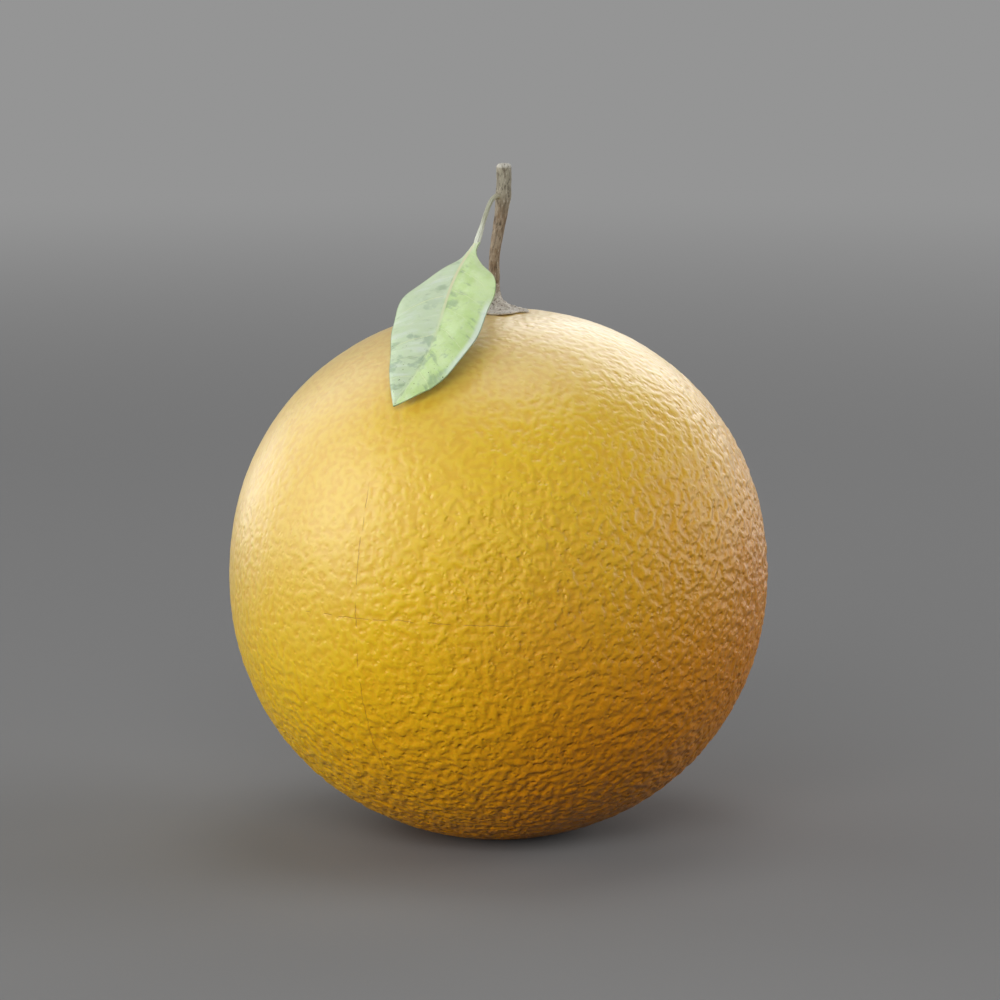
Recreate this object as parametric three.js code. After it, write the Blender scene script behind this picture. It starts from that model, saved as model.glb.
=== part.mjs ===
// An orange as picked: the fruit on a small flat spot, its calyx button, a short cut twig,
// and one young leaf on a thin stalk that leaves the twig near its cut end.
// Millimetres, +Z up. The origin is the centre of the flat spot that the fruit rests on.

import * as THREE from 'three';

// Clear space kept between pieces that grow together.
const GAP = 0.3;

// Fruit: a slightly squared oval, wider than it is high, cut off flat where it rests.
const FRUIT_RADIUS = 40;
const EQUATOR_HEIGHT = 39;
const UPPER_HALF = 39.7;
const LOWER_HALF = 39.4;
const UPPER_SQUARENESS = 2.1;
const LOWER_SQUARENESS = 2.06;
const BASIN_DEPTH = 0.4;
const BASIN_RADIUS = 6;
const FRUIT_SEGMENTS = 64;
const LOWER_RINGS = 14;
const UPPER_RINGS = 15;

// Low bulges round the fruit: how many, how high as a share of the radius, and where they start.
const BULGES = [
  { count: 2, share: 0.0018, phase: 0.5 },
  { count: 3, share: 0.0025, phase: 2.1 },
];

// Calyx: a five-lobed flare that hugs the top of the fruit and narrows to the twig.
const CALYX_CENTRE_X = -0.65;
const CALYX_RADIUS = 4.5;
const CALYX_LOBES = 5;
const CALYX_LOBE_SHARE = 0.11;
const CALYX_HEIGHT = 4;
const CALYX_SEGMENTS = 40;
const NECK_RADIUS = 0.8;

// Twig: thickens from the neck to its cut end, and leans a little as it rises.
const TWIG_TOP_RADIUS = 1.12;
const TWIG_HEIGHT = 17.4;
const TWIG_END_ROUNDING = 0.55;
const TWIG_SEGMENTS = 14;
const TWIG_RINGS = 18;
const TWIG_LEAN = [
  [-0.68, 0],
  [-0.55, 0.1],
  [0.15, 0.25],
  [0.72, 0.4],
  [0.76, 0.5],
];

// Leaf stalk: a thin round stalk that arches off the twig and down to the blade.
const STALK_RADIUS = 0.3;
const STALK_SIDES = 8;
const STALK_STEPS = 22;
const STALK_ROUTE = [
  [-0.3, -0.7, 95.5],
  [-0.95, -1.6, 95.1],
  [-1.45, -2.3, 94.2],
  [-2, -3.1, 92.7],
  [-2.55, -3.95, 91],
  [-3.05, -4.8, 89.45],
];

// Leaf blade: an ellipse with a drawn-out base and a pointed tip, folded along its midrib.
const BLADE_BASE = new THREE.Vector3(-3.2, -5, 89.1);
const BLADE_TIP = new THREE.Vector3(-14.95, -27, 67.9);
const BLADE_ACROSS = new THREE.Vector3(12.2, -5.5, -1.05);
const BLADE_HALF_WIDTH = 6.9;
const BLADE_THICKNESS = 0.5;
const BLADE_TIP_HALF = 0.25;
const RIGHT_SHOULDER = { base: 0.75, start: 0.19, sharpness: 2 };
const LEFT_SHOULDER = { base: 0.35, start: 0.305, sharpness: 2.85 };
const TIP_FULLNESS = 4.8;
const BLADE_BOW = 1.2;
const BLADE_BEND = 1.2;
const BLADE_SWAY = -0.8;
const FOLD_SLOPE = 0.28;
const MARGIN_CURL = 0.6;
const BLADE_COLUMNS = 16;
const BLADE_ROWS = 26;

function material(color, roughness) {
  return new THREE.MeshStandardMaterial({ color, roughness, metalness: 0 });
}

function named(name, geometry, look) {
  const mesh = new THREE.Mesh(geometry, look);
  mesh.name = name;
  return mesh;
}

// A profile of [radius, height] points turned round the Z axis.
function turned(profile, segments) {
  const points = profile.map(([radius, height]) => new THREE.Vector2(radius, height));
  const geometry = new THREE.LatheGeometry(points, segments);
  geometry.rotateX(Math.PI / 2);
  return geometry;
}

// Applies a change to every vertex of a geometry.
function reshaped(geometry, change) {
  const position = geometry.getAttribute('position');
  const point = new THREE.Vector3();
  for (let i = 0; i < position.count; i += 1) {
    change(point.fromBufferAttribute(position, i));
    position.setXYZ(i, point.x, point.y, point.z);
  }
  geometry.computeVertexNormals();
  return geometry;
}

function ovalPoint(angle, halfHeight, squareness) {
  const power = 2 / squareness;
  const radius = FRUIT_RADIUS * Math.cos(angle) ** power;
  const rise = Math.sign(angle) * halfHeight * Math.abs(Math.sin(angle)) ** power;
  return [radius, EQUATOR_HEIGHT + rise];
}

function basinDrop(radius) {
  return BASIN_DEPTH * Math.exp(-((radius / BASIN_RADIUS) ** 2));
}

// Height of the peel near the stem end, at a distance from the axis.
function peelTop(radius) {
  const share = (radius / FRUIT_RADIUS) ** UPPER_SQUARENESS;
  const dome = UPPER_HALF * (1 - share) ** (1 / UPPER_SQUARENESS);
  return EQUATOR_HEIGHT + dome - basinDrop(radius);
}

function fruitProfile() {
  const cutShare = (EQUATOR_HEIGHT / LOWER_HALF) ** (LOWER_SQUARENESS / 2);
  const cutAngle = -Math.asin(cutShare);
  const profile = [[0, 0]];
  for (let i = 0; i < LOWER_RINGS; i += 1) {
    const angle = cutAngle * (1 - i / LOWER_RINGS);
    const [radius, height] = ovalPoint(angle, LOWER_HALF, LOWER_SQUARENESS);
    profile.push([radius, Math.max(height, 0)]);
  }
  for (let i = 0; i < UPPER_RINGS; i += 1) {
    const angle = (Math.PI / 2) * (i / UPPER_RINGS);
    const [radius, height] = ovalPoint(angle, UPPER_HALF, UPPER_SQUARENESS);
    profile.push([radius, height - basinDrop(radius)]);
  }
  profile.push([0, peelTop(0)]);
  return profile;
}

function makeFruit() {
  const geometry = turned(fruitProfile(), FRUIT_SEGMENTS);
  return reshaped(geometry, (point) => {
    const around = Math.atan2(point.y, point.x);
    let swell = 1;
    for (const { count, share, phase } of BULGES) {
      swell += share * Math.cos(count * around + phase);
    }
    point.x *= swell;
    point.y *= swell;
  });
}

// Radius and height above the peel, from the middle of the underside, over the rim, to the neck.
function calyxProfile() {
  return [
    [0, 0],
    [1.5, 0],
    [3, 0],
    [CALYX_RADIUS - 0.15, 0],
    [CALYX_RADIUS, 0.3],
    [CALYX_RADIUS - 0.3, 0.55],
    [3.3, 0.9],
    [2.2, 1.3],
    [1.45, 1.85],
    [0.98, 2.8],
    [NECK_RADIUS, CALYX_HEIGHT],
    [0, CALYX_HEIGHT],
  ];
}

function makeCalyx() {
  const geometry = turned(calyxProfile(), CALYX_SEGMENTS);
  return reshaped(geometry, (point) => {
    const reach = Math.hypot(point.x, point.y) / CALYX_RADIUS;
    const around = Math.atan2(point.y, point.x);
    const lobe = 1 + CALYX_LOBE_SHARE * Math.cos(CALYX_LOBES * around) * reach ** 2;
    point.x = point.x * lobe + CALYX_CENTRE_X;
    point.y *= lobe;
    point.z += GAP + peelTop(Math.hypot(point.x, point.y));
  });
}

function twigProfile() {
  const side = new THREE.SplineCurve([
    new THREE.Vector2(NECK_RADIUS, 0),
    new THREE.Vector2(0.8, 0.3 * TWIG_HEIGHT),
    new THREE.Vector2(0.92, 0.53 * TWIG_HEIGHT),
    new THREE.Vector2(1.07, 0.75 * TWIG_HEIGHT),
    new THREE.Vector2(TWIG_TOP_RADIUS, TWIG_HEIGHT - TWIG_END_ROUNDING),
  ]);
  const profile = [[0, 0]];
  for (const { x, y } of side.getPoints(TWIG_RINGS)) {
    profile.push([x, y]);
  }
  for (const turn of [30, 60]) {
    const angle = THREE.MathUtils.degToRad(turn);
    const inset = TWIG_END_ROUNDING * (1 - Math.cos(angle));
    const rise = TWIG_END_ROUNDING * (Math.sin(angle) - 1);
    profile.push([TWIG_TOP_RADIUS - inset, TWIG_HEIGHT + rise]);
  }
  profile.push([TWIG_TOP_RADIUS - TWIG_END_ROUNDING, TWIG_HEIGHT]);
  profile.push([0, TWIG_HEIGHT]);
  return profile;
}

function makeTwig() {
  const foot = peelTop(0) + GAP + CALYX_HEIGHT + GAP;
  const step = TWIG_HEIGHT / (TWIG_LEAN.length - 1);
  const knots = TWIG_LEAN.map(([x, y], i) => new THREE.Vector3(x, y, i * step));
  const centreline = new THREE.CatmullRomCurve3(knots, false, 'catmullrom');
  return reshaped(turned(twigProfile(), TWIG_SEGMENTS), (point) => {
    const centre = centreline.getPoint(THREE.MathUtils.clamp(point.z / TWIG_HEIGHT, 0, 1));
    point.x += centre.x;
    point.y += centre.y;
    point.z += foot;
  });
}

function makeStalk() {
  const route = STALK_ROUTE.map(([x, y, z]) => new THREE.Vector3(x, y, z));
  const section = new THREE.Shape().absarc(0, 0, STALK_RADIUS, 0, 2 * Math.PI);
  return new THREE.ExtrudeGeometry(section, {
    steps: STALK_STEPS,
    curveSegments: STALK_SIDES,
    extrudePath: new THREE.CatmullRomCurve3(route),
  });
}

// The blade's width on one side of the midrib, from its base (along 0) to its tip (along 1).
function halfWidth(along, shoulder) {
  const opening = 1 - Math.exp(-((along / shoulder.start) ** shoulder.sharpness));
  const closing = 1 - along ** TIP_FULLNESS;
  const ends = THREE.MathUtils.lerp(shoulder.base, BLADE_TIP_HALF, along);
  return ends + BLADE_HALF_WIDTH * opening * closing;
}

// Directions of the blade as a whole: from base to tip, across to its right, and out of its face.
function bladeAxes() {
  const length = BLADE_TIP.clone().sub(BLADE_BASE);
  const tangent = length.clone().normalize();
  const across = BLADE_ACROSS.clone().addScaledVector(tangent, -BLADE_ACROSS.dot(tangent));
  across.normalize();
  const face = tangent.clone().cross(across);
  return { length, across, face };
}

function midribPoint(along, { length, across, face }) {
  const sideways = BLADE_SWAY * Math.sin(2 * Math.PI * along) + BLADE_BEND * Math.sin(Math.PI * along);
  const outward = 4 * BLADE_BOW * along * (1 - along);
  const point = BLADE_BASE.clone().addScaledVector(length, along);
  return point.addScaledVector(across, sideways).addScaledVector(face, outward);
}

// A point of the blade: along from base to tip, side from -1 at the left margin to 1 at the
// right one, and depth through its thickness.
function bladePoint(along, side, depth, axes) {
  const step = 0.001;
  const centre = midribPoint(along, axes);
  const tangent = midribPoint(along + step, axes).sub(midribPoint(along - step, axes)).normalize();
  const across = axes.across.clone().addScaledVector(tangent, -axes.across.dot(tangent)).normalize();
  const face = tangent.clone().cross(across);
  const width = halfWidth(along, side > 0 ? RIGHT_SHOULDER : LEFT_SHOULDER);
  const reach = Math.abs(side);
  const lift = FOLD_SLOPE * width * reach * (1 - MARGIN_CURL * reach ** 2);
  return centre.addScaledVector(across, side * width).addScaledVector(face, lift + depth);
}

function makeBlade() {
  const axes = bladeAxes();
  const slab = new THREE.BoxGeometry(2, 1, BLADE_THICKNESS, BLADE_COLUMNS, BLADE_ROWS, 1);
  return reshaped(slab, (point) => {
    point.copy(bladePoint(0.5 - point.y, point.x, point.z, axes));
  });
}

const orange = new THREE.Group();
orange.add(named('fruit', makeFruit(), material(0xdca02a, 0.42)));
orange.add(named('calyx', makeCalyx(), material(0xa89a84, 0.85)));
orange.add(named('stem', makeTwig(), material(0x7c6a57, 0.85)));
orange.add(named('petiole', makeStalk(), material(0xb4ba98, 0.6)));
orange.add(named('leaf_blade', makeBlade(), material(0xbcd79e, 0.4)));

export default orange;
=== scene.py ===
# An orange as picked: the fruit on the small flat spot of its base, the calyx button and the
# short cut twig on its top, and one young leaf that hangs from the twig on a thin stalk.
# Metres, +Z up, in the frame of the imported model. The file follows the orange from the fruit up.

import math

import bpy
import numpy as np
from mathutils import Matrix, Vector, noise
from mathutils.bvhtree import BVHTree


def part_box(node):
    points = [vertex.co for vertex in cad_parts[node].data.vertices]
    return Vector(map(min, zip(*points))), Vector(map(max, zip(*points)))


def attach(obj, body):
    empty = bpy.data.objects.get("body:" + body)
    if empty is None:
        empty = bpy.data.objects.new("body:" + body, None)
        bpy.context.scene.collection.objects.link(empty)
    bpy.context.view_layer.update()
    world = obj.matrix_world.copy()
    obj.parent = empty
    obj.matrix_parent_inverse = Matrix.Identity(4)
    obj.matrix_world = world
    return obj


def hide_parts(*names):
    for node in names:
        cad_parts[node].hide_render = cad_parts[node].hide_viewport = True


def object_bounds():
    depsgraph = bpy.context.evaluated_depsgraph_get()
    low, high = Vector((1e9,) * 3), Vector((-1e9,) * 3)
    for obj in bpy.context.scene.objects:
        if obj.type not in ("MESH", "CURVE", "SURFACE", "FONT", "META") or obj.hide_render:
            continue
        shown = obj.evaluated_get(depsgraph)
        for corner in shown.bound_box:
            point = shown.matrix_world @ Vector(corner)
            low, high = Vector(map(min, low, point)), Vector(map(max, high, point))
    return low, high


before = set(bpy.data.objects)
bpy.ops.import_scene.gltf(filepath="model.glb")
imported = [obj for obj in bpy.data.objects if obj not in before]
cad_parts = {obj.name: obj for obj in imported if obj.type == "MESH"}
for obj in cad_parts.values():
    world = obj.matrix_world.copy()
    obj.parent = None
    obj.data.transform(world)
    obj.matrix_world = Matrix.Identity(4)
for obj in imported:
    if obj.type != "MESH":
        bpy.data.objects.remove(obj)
cad_low, cad_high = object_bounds()


# ---------------------------------------------------------------------------------------------
# Camera: a long lens in front of the fruit. It stands a little higher than the fruit does and
# looks down on the middle of the whole object.

MM = 0.001
CAMERA_LENS = 160
CAMERA_DISTANCE = 0.6615
CAMERA_PITCH = math.radians(8.96)
CAMERA_SIDE = 0.2 * MM

aim = Vector((CAMERA_SIDE, 0, (cad_low.z + cad_high.z) / 2))
away = Vector((0, -math.cos(CAMERA_PITCH), math.sin(CAMERA_PITCH)))
camera_data = bpy.data.cameras.new("Camera")
camera_data.lens = CAMERA_LENS
camera = bpy.data.objects.new("Camera", camera_data)
camera.location = aim + CAMERA_DISTANCE * away
camera.rotation_euler = (math.pi / 2 - CAMERA_PITCH, 0, 0)
bpy.context.scene.collection.objects.link(camera)
bpy.context.scene.camera = camera
bpy.context.scene.view_settings.view_transform = "Standard"


# ---------------------------------------------------------------------------------------------
# Floor and air: a plain pale grey studio floor that fades into an even grey background far off.
# It looks pale to the eye but throws little light back, so the underside stays in shade.

BACKGROUND_GREY = (0.3, 0.3, 0.3, 1)
AMBIENT_GREY = (0.12, 0.12, 0.122, 1)
FLOOR_PALE = (0.22, 0.22, 0.22, 1)
FLOOR_BOUNCE = (0.07, 0.07, 0.07, 1)
FLOOR_HALF = 12
FLOOR_FADE = (0.35, 1.1)


def feed(tree, socket, value):
    """Gives a socket its value: another socket, or a plain number, colour or vector."""
    if isinstance(value, Field):
        value = value.socket
    if isinstance(value, bpy.types.NodeSocket):
        tree.links.new(value, socket)
    else:
        socket.default_value = value


def add_node(tree, kind, sockets=None, **settings):
    """Adds a node, sets its options, and feeds the sockets named or numbered."""
    node = tree.nodes.new(kind)
    for name, value in settings.items():
        setattr(node, name, value)
    for key, value in (sockets or {}).items():
        feed(tree, node.inputs[key], value)
    return node


class Field:
    """An output of a node tree that takes arithmetic, so that a tree reads like its formula."""

    def __init__(self, tree, socket):
        self.tree = tree
        self.socket = socket

    def math(self, operation, *others):
        node = add_node(self.tree, "ShaderNodeMath", operation=operation)
        for socket, value in zip(node.inputs, (self, *others)):
            feed(self.tree, socket, value)
        return Field(self.tree, node.outputs[0])

    def vector(self, operation, *others, output="Vector"):
        node = add_node(self.tree, "ShaderNodeVectorMath", operation=operation)
        for socket, value in zip(node.inputs, (self, *others)):
            feed(self.tree, socket, value)
        return Field(self.tree, node.outputs[output])

    def scaled(self, factor):
        sockets = {0: self, "Scale": factor}
        node = add_node(self.tree, "ShaderNodeVectorMath", sockets, operation="SCALE")
        return Field(self.tree, node.outputs["Vector"])

    def parts(self):
        """The x, the y and the z of a vector."""
        node = add_node(self.tree, "ShaderNodeSeparateXYZ", {0: self})
        return [Field(self.tree, socket) for socket in node.outputs]

    def ramp(self, low, high, start=0.0, end=1.0):
        """Runs smoothly from start to end as the value goes from low to high."""
        node = add_node(self.tree, "ShaderNodeMapRange", interpolation_type="SMOOTHSTEP")
        for socket, value in zip(node.inputs, (self, low, high, start, end)):
            feed(self.tree, socket, value)
        return Field(self.tree, node.outputs[0])

    def __add__(self, other):
        return self.math("ADD", other)

    def __sub__(self, other):
        return self.math("SUBTRACT", other)

    def __mul__(self, other):
        return self.math("MULTIPLY", other)

    def __truediv__(self, other):
        return self.math("DIVIDE", other)

    def __pow__(self, other):
        return self.math("POWER", other)

    __radd__ = __add__


def reading(tree, kind, output=0, **settings):
    """What an input node tells at each point, such as its place or a value stored there."""
    return Field(tree, add_node(tree, kind, **settings).outputs[output])


def new_material(name):
    """A material with an empty node tree and its output node."""
    material = bpy.data.materials.new(name)
    material.use_nodes = True
    tree = material.node_tree
    tree.nodes.clear()
    output = add_node(tree, "ShaderNodeOutputMaterial")
    return material, tree, output


def mix_colour(tree, share, first, second):
    """The first colour with a share of the second over it."""
    node = add_node(tree, "ShaderNodeMix", {0: share, 6: first, 7: second}, data_type="RGBA")
    return Field(tree, node.outputs[2])


def seen_directly(tree):
    """1 for rays from the eye, a reflection or a refraction, and 0 for light that bounces on."""
    path = add_node(tree, "ShaderNodeLightPath")
    eye = Field(tree, path.outputs["Is Camera Ray"])
    glossy = Field(tree, path.outputs["Is Glossy Ray"])
    through = Field(tree, path.outputs["Is Transmission Ray"])
    return eye.math("MAXIMUM", glossy).math("MAXIMUM", through)


def make_world():
    world = bpy.data.worlds.new("Air")
    world.use_nodes = True
    tree = world.node_tree
    tree.nodes.clear()
    colour = mix_colour(tree, seen_directly(tree), AMBIENT_GREY, BACKGROUND_GREY)
    background = add_node(tree, "ShaderNodeBackground", {"Color": colour})
    add_node(tree, "ShaderNodeOutputWorld", {"Surface": background.outputs[0]})
    bpy.context.scene.world = world


def floor_material():
    material, tree, output = new_material("Studio_floor")
    colour = mix_colour(tree, seen_directly(tree), FLOOR_BOUNCE, FLOOR_PALE)
    lit = add_node(tree, "ShaderNodeBsdfDiffuse", {"Color": colour})
    far = add_node(tree, "ShaderNodeEmission", {"Color": BACKGROUND_GREY})
    distance = reading(tree, "ShaderNodeTexCoord", "Object").vector("LENGTH", output="Value")
    share = distance.ramp(*FLOOR_FADE) * seen_directly(tree)
    surface = add_node(tree, "ShaderNodeMixShader", {0: share, 1: lit.outputs[0], 2: far.outputs[0]})
    feed(tree, output.inputs["Surface"], surface.outputs[0])
    return material


def make_floor():
    half = FLOOR_HALF
    corners = [(-half, -half, 0), (half, -half, 0), (half, half, 0), (-half, half, 0)]
    mesh = bpy.data.meshes.new("Studio_floor")
    mesh.from_pydata(corners, [], [(0, 1, 2, 3)])
    mesh.materials.append(floor_material())
    floor = bpy.data.objects.new("Studio_floor", mesh)
    bpy.context.scene.collection.objects.link(floor)


make_world()
make_floor()


# ---------------------------------------------------------------------------------------------
# Light: plain soft boxes on the left, behind, above and on the right, fills that soften the
# shade without a glint of their own, and cards that only the sheen of the peel picks up.
# Each has its name, its turn round from the camera (positive to the right) and its rise in
# degrees, its distance, its width and height in metres, and its radiance.

SOFT_BOXES = [
    ("left", -80, 23, 1.1, (0.7, 0.75), 1.2),
    ("far_left", -130, 36, 1.1, (0.6, 0.6), 1.5),
    ("back", 157, 34, 0.95, (0.65, 0.7), 1.25),
    ("top", 140, 84, 0.95, (0.45, 0.4), 2.4),
    ("right", 95, 12, 1.2, (0.8, 0.6), 1.2),
]
FILLS = [
    ("behind_left", -106, 2.5, 1.1, (1.0, 0.2), 2.8),
    ("near_left", -52, 2.5, 1.1, (1.0, 0.2), 11.2),
    ("front", -8, 25, 1.1, (0.8, 0.5), 5.3),
    ("near_right", 98, 18, 1.1, (0.7, 0.6), 3.7),
]
CARDS = [
    ("left_card", -72, 24, 1.1, (0.8, 0.8), 1.5),
    ("behind_left_card", -133, 4, 1.1, (0.6, 0.5), 2.1),
    ("right_card", 135, 4, 1.1, (0.6, 0.5), 0.9),
    ("back_card", 155, 34, 0.9, (0.65, 0.7), 1.25),
]


def add_soft_box(name, turn, rise, distance, size, radiance):
    light = bpy.data.lights.new("Soft_box_" + name, "AREA")
    light.shape = "RECTANGLE"
    light.size, light.size_y = size
    light.energy = radiance * math.pi * size[0] * size[1]
    turn, rise = math.radians(turn), math.radians(rise)
    level = Vector((math.sin(turn), -math.cos(turn), 0))
    towards = level * math.cos(rise) + Vector((0, 0, math.sin(rise)))
    lamp = bpy.data.objects.new(light.name, light)
    lamp.location = aim + distance * towards
    lamp.rotation_euler = towards.to_track_quat("Z", "Y").to_euler()
    lamp.visible_camera = False
    bpy.context.scene.collection.objects.link(lamp)
    return lamp


for box in SOFT_BOXES:
    add_soft_box(*box)
for fill in FILLS:
    add_soft_box(*fill).visible_glossy = False
for card in CARDS:
    add_soft_box(*card).visible_diffuse = False


# ---------------------------------------------------------------------------------------------
# Fruit: the whole orange in its peel, a slightly squared oval that sags flat where it rests.
# The peel is oily and finely pebbled over its oil glands, smoother near the stem, with a few
# hairline scars where the young fruit rubbed its twig.

PEEL_RADIUS = 40 * MM
EQUATOR_HEIGHT = 39 * MM
UPPER_HALF = 39.7 * MM
LOWER_HALF = 39.4 * MM
UPPER_SQUARENESS = 2.1
LOWER_SQUARENESS = 2.06
BASIN_DEPTH = 0.4 * MM
BASIN_RADIUS = 6 * MM
REST_ROUNDING = 0.6 * MM
REST_FADE = (0.1 * MM, 3 * MM)
PEEL_VERTICES = 129

# Low swells round the fruit: how many, how high as a share of its radius, and how far turned.
SWELLS = [(2, 0.0018, 0.5), (3, 0.0025, 2.1)]

# The real relief of the peel, and how much of it is left on the smooth cheek and at the top.
PEBBLE_SPACING = 1.7 * MM
PEBBLE_HEIGHT = 0.36 * MM
DENT_SPACING = 0.92 * MM
DENT_DEPTH = 0.26 * MM
UNEVEN_SPACING = 14 * MM
UNEVEN_HEIGHT = 0.25 * MM
SMOOTH_CHEEK = Vector((-0.75, -0.3, 0.585)).normalized()
CHEEK_FADE = (0.15, 0.93)
CHEEK_RELIEF = 0.22
TOP_FADE = (48 * MM, 75 * MM)
TOP_RELIEF = 0.36

# The finest relief, which only bends the shading.
GRAIN_SPACING = 0.5 * MM
GRAIN_HEIGHT = 0.04 * MM
FINE_DENT_DEPTH = 0.13 * MM
PIT_SPACING = 1.1 * MM
PIT_DEPTH = 0.14 * MM
SCAR_HEIGHT = 38.6 * MM
SCAR_TURN = math.radians(30.5)
SCAR_WIDTH = 0.1 * MM
SCAR_DEPTH = 0.03 * MM
SCAR_WANDER = 1.4 * MM
SCAR_ENDS = 3 * MM

# The yellow peel, the darker orange painted where the fruit lies in shade, a pale painted sheen for
# the top and the cheek, a darker painted shade for the dents, and the scars' brown.
YELLOW_PEEL = (0.66, 0.435, 0.004, 1)
SHADED_ORANGE_PEEL = (0.56, 0.195, 0.001, 1)
CROWN_SHEEN_PAINT = (0.6, 0.5, 0.34, 1)
CHEEK_SHEEN_PAINT = (0.56, 0.5, 0.42, 1)
DENT_SHADE_ORANGE = (0.5, 0.19, 0.004, 1)
SCAR_BROWN = (0.28, 0.12, 0.01, 1)
# The way and span over which the painted shade deepens, the span of the painted sheen on top, and of
# the wax coat.
SHADED_WAY = (0.75, 0, -0.95)
SHADE_FADE = (-61 * MM, 5 * MM)
CROWN_FADE = (64 * MM, 79 * MM)
WAX_FADE = (22 * MM, 50 * MM)


def add_inputs(tree, kinds_and_values):
    """Names a Geometry Nodes tree's inputs with their values, and returns them as fields."""
    for name, (kind, value) in kinds_and_values.items():
        socket = tree.interface.new_socket(name=name, in_out="INPUT", socket_type=kind)
        if value is not None:
            socket.default_value = value
    group = tree.nodes.new("NodeGroupInput")
    return {name: Field(tree, group.outputs[name]) for name in kinds_and_values}


def finish_tree(tree, geometry, material):
    """Ends a Geometry Nodes tree: smooth shading, real geometry and the piece's material."""
    tree.interface.new_socket(name="Geometry", in_out="OUTPUT", socket_type="NodeSocketGeometry")
    smooth = add_node(tree, "GeometryNodeSetShadeSmooth", {"Geometry": geometry})
    real = add_node(tree, "GeometryNodeRealizeInstances", {"Geometry": smooth.outputs[0]})
    sockets = {"Geometry": real.outputs[0], "Material": material}
    coated = add_node(tree, "GeometryNodeSetMaterial", sockets)
    add_node(tree, "NodeGroupOutput", {0: coated.outputs[0]})


def grow(name, tree, values, start=None):
    """Runs a Geometry Nodes tree on a starting mesh and returns the plain mesh object it makes."""
    seed = bpy.data.objects.new(name + "_seed", start or bpy.data.meshes.new(name + "_seed"))
    bpy.context.scene.collection.objects.link(seed)
    modifier = seed.modifiers.new(name, "NODES")
    modifier.node_group = tree
    for item in tree.interface.items_tree:
        if item.in_out == "INPUT" and item.name in values:
            modifier[item.identifier] = values[item.name]
    depsgraph = bpy.context.evaluated_depsgraph_get()
    mesh = bpy.data.meshes.new_from_object(seed.evaluated_get(depsgraph), depsgraph=depsgraph)
    bpy.data.objects.remove(seed)
    mesh.name = name
    mesh.materials.clear()
    mesh.materials.append(values["Material"])
    mesh.polygons.foreach_set("material_index", [0] * len(mesh.polygons))
    piece = bpy.data.objects.new(name, mesh)
    bpy.context.scene.collection.objects.link(piece)
    return piece


def joined(tree, x=0.0, y=0.0, z=0.0):
    """The vector with these parts."""
    return Field(tree, add_node(tree, "ShaderNodeCombineXYZ", {0: x, 1: y, 2: z}).outputs[0])


def noise_field(tree, place, spacing, detail=0.0, roughness=0.5, output="Fac"):
    """Soft noise between 0 and 1 whose features lie about spacing apart."""
    sockets = {"Vector": place, "Scale": spacing**-1, "Detail": detail, "Roughness": roughness}
    return Field(tree, add_node(tree, "ShaderNodeTexNoise", sockets).outputs[output])


def shaken(tree, place, spacing, amount):
    """The place moved about by soft noise, so that a pattern laid on it turns irregular."""
    wander = noise_field(tree, place, spacing, output="Color")
    return place.vector("ADD", wander.vector("SUBTRACT", (0.5, 0.5, 0.5)).scaled(amount))


def add_bump(tree, height):
    """Bends the shading by a height in metres."""
    sockets = {"Strength": 1.0, "Distance": 1.0, "Height": height}
    return add_node(tree, "ShaderNodeBump", sockets).outputs[0]


def add_principled(tree, output, sockets):
    shader = add_node(tree, "ShaderNodeBsdfPrincipled", sockets)
    feed(tree, output.inputs["Surface"], shader.outputs[0])


def smoothness(tree, place):
    """Near 1 in the middle of the smooth cheek, and less the further the peel turns from it."""
    toward = place.vector("SUBTRACT", (0, 0, EQUATOR_HEIGHT)).vector("NORMALIZE")
    facing = toward.vector("DOT_PRODUCT", tuple(SMOOTH_CHEEK), output="Value")
    patches = noise_field(tree, place, 20 * MM, detail=2) - 0.5
    return facing + patches * 0.5


def roughening(tree, place):
    """How strongly the peel is pebbled here: least on the smooth cheek and round the top."""
    cheek = smoothness(tree, place).ramp(*CHEEK_FADE, 1.0, CHEEK_RELIEF)
    return cheek * place.parts()[2].ramp(*TOP_FADE, 1.0, TOP_RELIEF)


def dents(tree, place):
    """1 in the bottom of each shallow dent between the pebbles, and 0 on the pebbles."""
    return noise_field(tree, place, DENT_SPACING, detail=0.6, roughness=0.4).ramp(0.7, 0.24)


def oil_pits(tree, place):
    """1 in the bottom of each tiny pit over an oil gland, falling to 0 at its edge."""
    wandering = shaken(tree, place, 0.9 * MM, 0.5 * MM)
    sockets = {"Vector": wandering, "Scale": PIT_SPACING**-1, "Randomness": 1.0}
    cells = add_node(tree, "ShaderNodeTexVoronoi", sockets, feature="F1")
    return Field(tree, cells.outputs["Distance"]).ramp(0.42, 0.05)


def hairline(tree, place, aside, travel, start, end):
    """1 along a broken hairline scar where aside is 0, from start to end of its travel."""
    wander = noise_field(tree, place, 5 * MM, detail=4, roughness=0.6) - 0.5
    gap = (aside + wander * SCAR_WANDER).math("ABSOLUTE")
    broken = noise_field(tree, place, 3.2 * MM, detail=1).ramp(0.44, 0.5)
    within = travel.ramp(start, start + SCAR_ENDS) * travel.ramp(end, end - SCAR_ENDS)
    return gap.ramp(SCAR_WIDTH, 0.3 * SCAR_WIDTH) * broken * within


def scars(tree, place):
    """One scar round the fruit's front at its widest, and one that runs down across it."""
    x, y, z = place.parts()
    level = hairline(tree, place, z - SCAR_HEIGHT, x, -30 * MM, 4 * MM)
    aside = x * math.cos(SCAR_TURN) - y * math.sin(SCAR_TURN)
    upright = hairline(tree, place, aside, z, 9 * MM, 58 * MM)
    return level.math("MAXIMUM", upright) * y.ramp(0, -5 * MM)


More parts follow.
